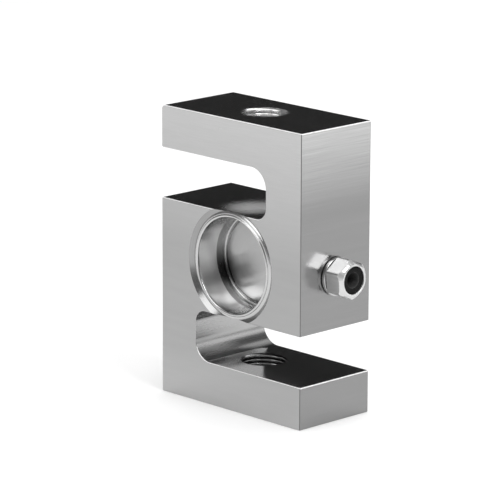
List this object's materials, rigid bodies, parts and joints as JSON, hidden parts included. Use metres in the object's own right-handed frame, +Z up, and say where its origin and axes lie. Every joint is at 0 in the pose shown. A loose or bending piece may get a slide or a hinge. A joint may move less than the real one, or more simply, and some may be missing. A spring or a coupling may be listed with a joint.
{
  "type": "s type load cell",
  "caption": "S shaped solid steel load cell with threaded arms, welded cover cups over the gauge web and a side cable gland.",
  "frame": {"origin": "centre of the lower load thread on the underside of the foot", "axes": "+Z up along the load axis, -Y the front face, +X the side with the cable gland"},
  "size_m": [0.0862, 0.037, 0.1143],
  "materials": {
    "body_steel": "fine ground, near mirror on the upward faces",
    "cup_steel": "polished stainless sheet",
    "weld_steel": "dressed weld, bright",
    "board_laminate": "glass epoxy laminate, satin",
    "solder": "satin solder",
    "gauge_wire_enamel": "clear brown enamel",
    "lead_wire_jacket": "smooth red insulation",
    "link_wire_jacket": "smooth black insulation",
    "resistor_ceramic": "glazed black chip",
    "header_steel": "turned, satin",
    "header_glass": "fused glass, dark",
    "header_pin_metal": "gold plated",
    "gland_metal": "bright nickel plate",
    "nut_metal": "bright nickel plate, softly polished",
    "washer_fibre": "black fibre",
    "seal_rubber": "black moulded rubber",
    "slip_washer_nylon": "natural nylon",
    "gauge_film": "amber polyimide film",
    "gauge_foil": "etched resistance foil"
  },
  "bodies": {
    "root": {"s_body": "body_steel", "front_cup": "cup_steel", "rear_cup": "cup_steel", "front_weld_bead": "weld_steel", "rear_weld_bead": "weld_steel", "front_terminal_board": "board_laminate", "rear_terminal_board": "board_laminate", "front_solder_joints": "solder", "rear_solder_joints": "solder", "front_gauge_wires": "gauge_wire_enamel", "rear_gauge_wires": "gauge_wire_enamel", "header_lead_wires": "lead_wire_jacket", "bridge_link_wires": "link_wire_jacket", "front_span_resistor": "resistor_ceramic", "rear_zero_resistor": "resistor_ceramic", "header_shell": "header_steel", "header_glass": "header_glass", "header_pins": "header_pin_metal", "gland_body": "gland_metal", "gland_face_washer": "washer_fibre", "gland_seal": "seal_rubber", "gland_slip_washer": "slip_washer_nylon", "gland_cap_nut": "nut_metal", "front_left_gauge_film": "gauge_film", "front_left_gauge_grid": "gauge_foil", "front_right_gauge_film": "gauge_film", "front_right_gauge_grid": "gauge_foil", "rear_left_gauge_film": "gauge_film", "rear_left_gauge_grid": "gauge_foil", "rear_right_gauge_film": "gauge_film", "rear_right_gauge_grid": "gauge_foil"}
  },
  "joints": []
}
